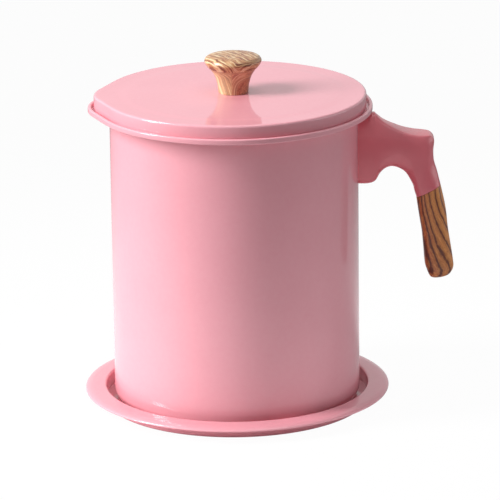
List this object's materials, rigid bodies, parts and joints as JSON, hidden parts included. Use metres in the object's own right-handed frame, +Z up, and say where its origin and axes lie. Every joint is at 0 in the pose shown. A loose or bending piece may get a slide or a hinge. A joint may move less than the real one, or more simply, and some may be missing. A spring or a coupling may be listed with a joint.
{
  "type": "grease container",
  "caption": "Round pot for keeping cooking grease, with a lift-off lid and knob, a drop-in strainer, a pouring spout, a side handle with a wood grip and a shallow drip tray.",
  "frame": {"origin": "on the pot's axis, in the plane that the tray stands on", "axes": "+Z up along the pot's axis, +X towards the handle, -X towards the spout"},
  "size_m": [0.1952, 0.1608, 0.1868],
  "materials": {
    "pink_paint": "glossy baked enamel",
    "deep_pink_plastic": "gloss moulded plastic",
    "grip_wood": "satin lacquered dark grain",
    "knob_wood": "satin lacquered two-tone grain",
    "stainless": "satin stainless steel",
    "screw_steel": "bright plated steel",
    "brass": "plain brass"
  },
  "bodies": {
    "tray": {"tray": "pink_paint"},
    "pot": {"pot": "pink_paint", "handle_bracket": "screw_steel", "handle_nut": "screw_steel", "handle_screw": "screw_steel", "handle_washer": "screw_steel", "handle_arm": "deep_pink_plastic", "handle_grip": "grip_wood"},
    "strainer": {"strainer_cup": "stainless", "strainer_screen": "stainless", "strainer_bail": "stainless"},
    "lid": {"lid": "pink_paint", "lid_washer": "screw_steel", "lid_screw": "screw_steel", "knob_insert": "brass", "lid_knob": "knob_wood"}
  },
  "joints": [
    {"name": "pot_lift", "type": "slide", "parent": "tray", "child": "pot", "axis": [0, 0, 1], "range_m": [0, 0.05]},
    {"name": "strainer_lift", "type": "slide", "parent": "pot", "child": "strainer", "axis": [0, 0, 1], "range_m": [0, 0.08]},
    {"name": "lid_lift", "type": "slide", "parent": "strainer", "child": "lid", "axis": [0, 0, 1], "range_m": [0, 0.08]}
  ]
}
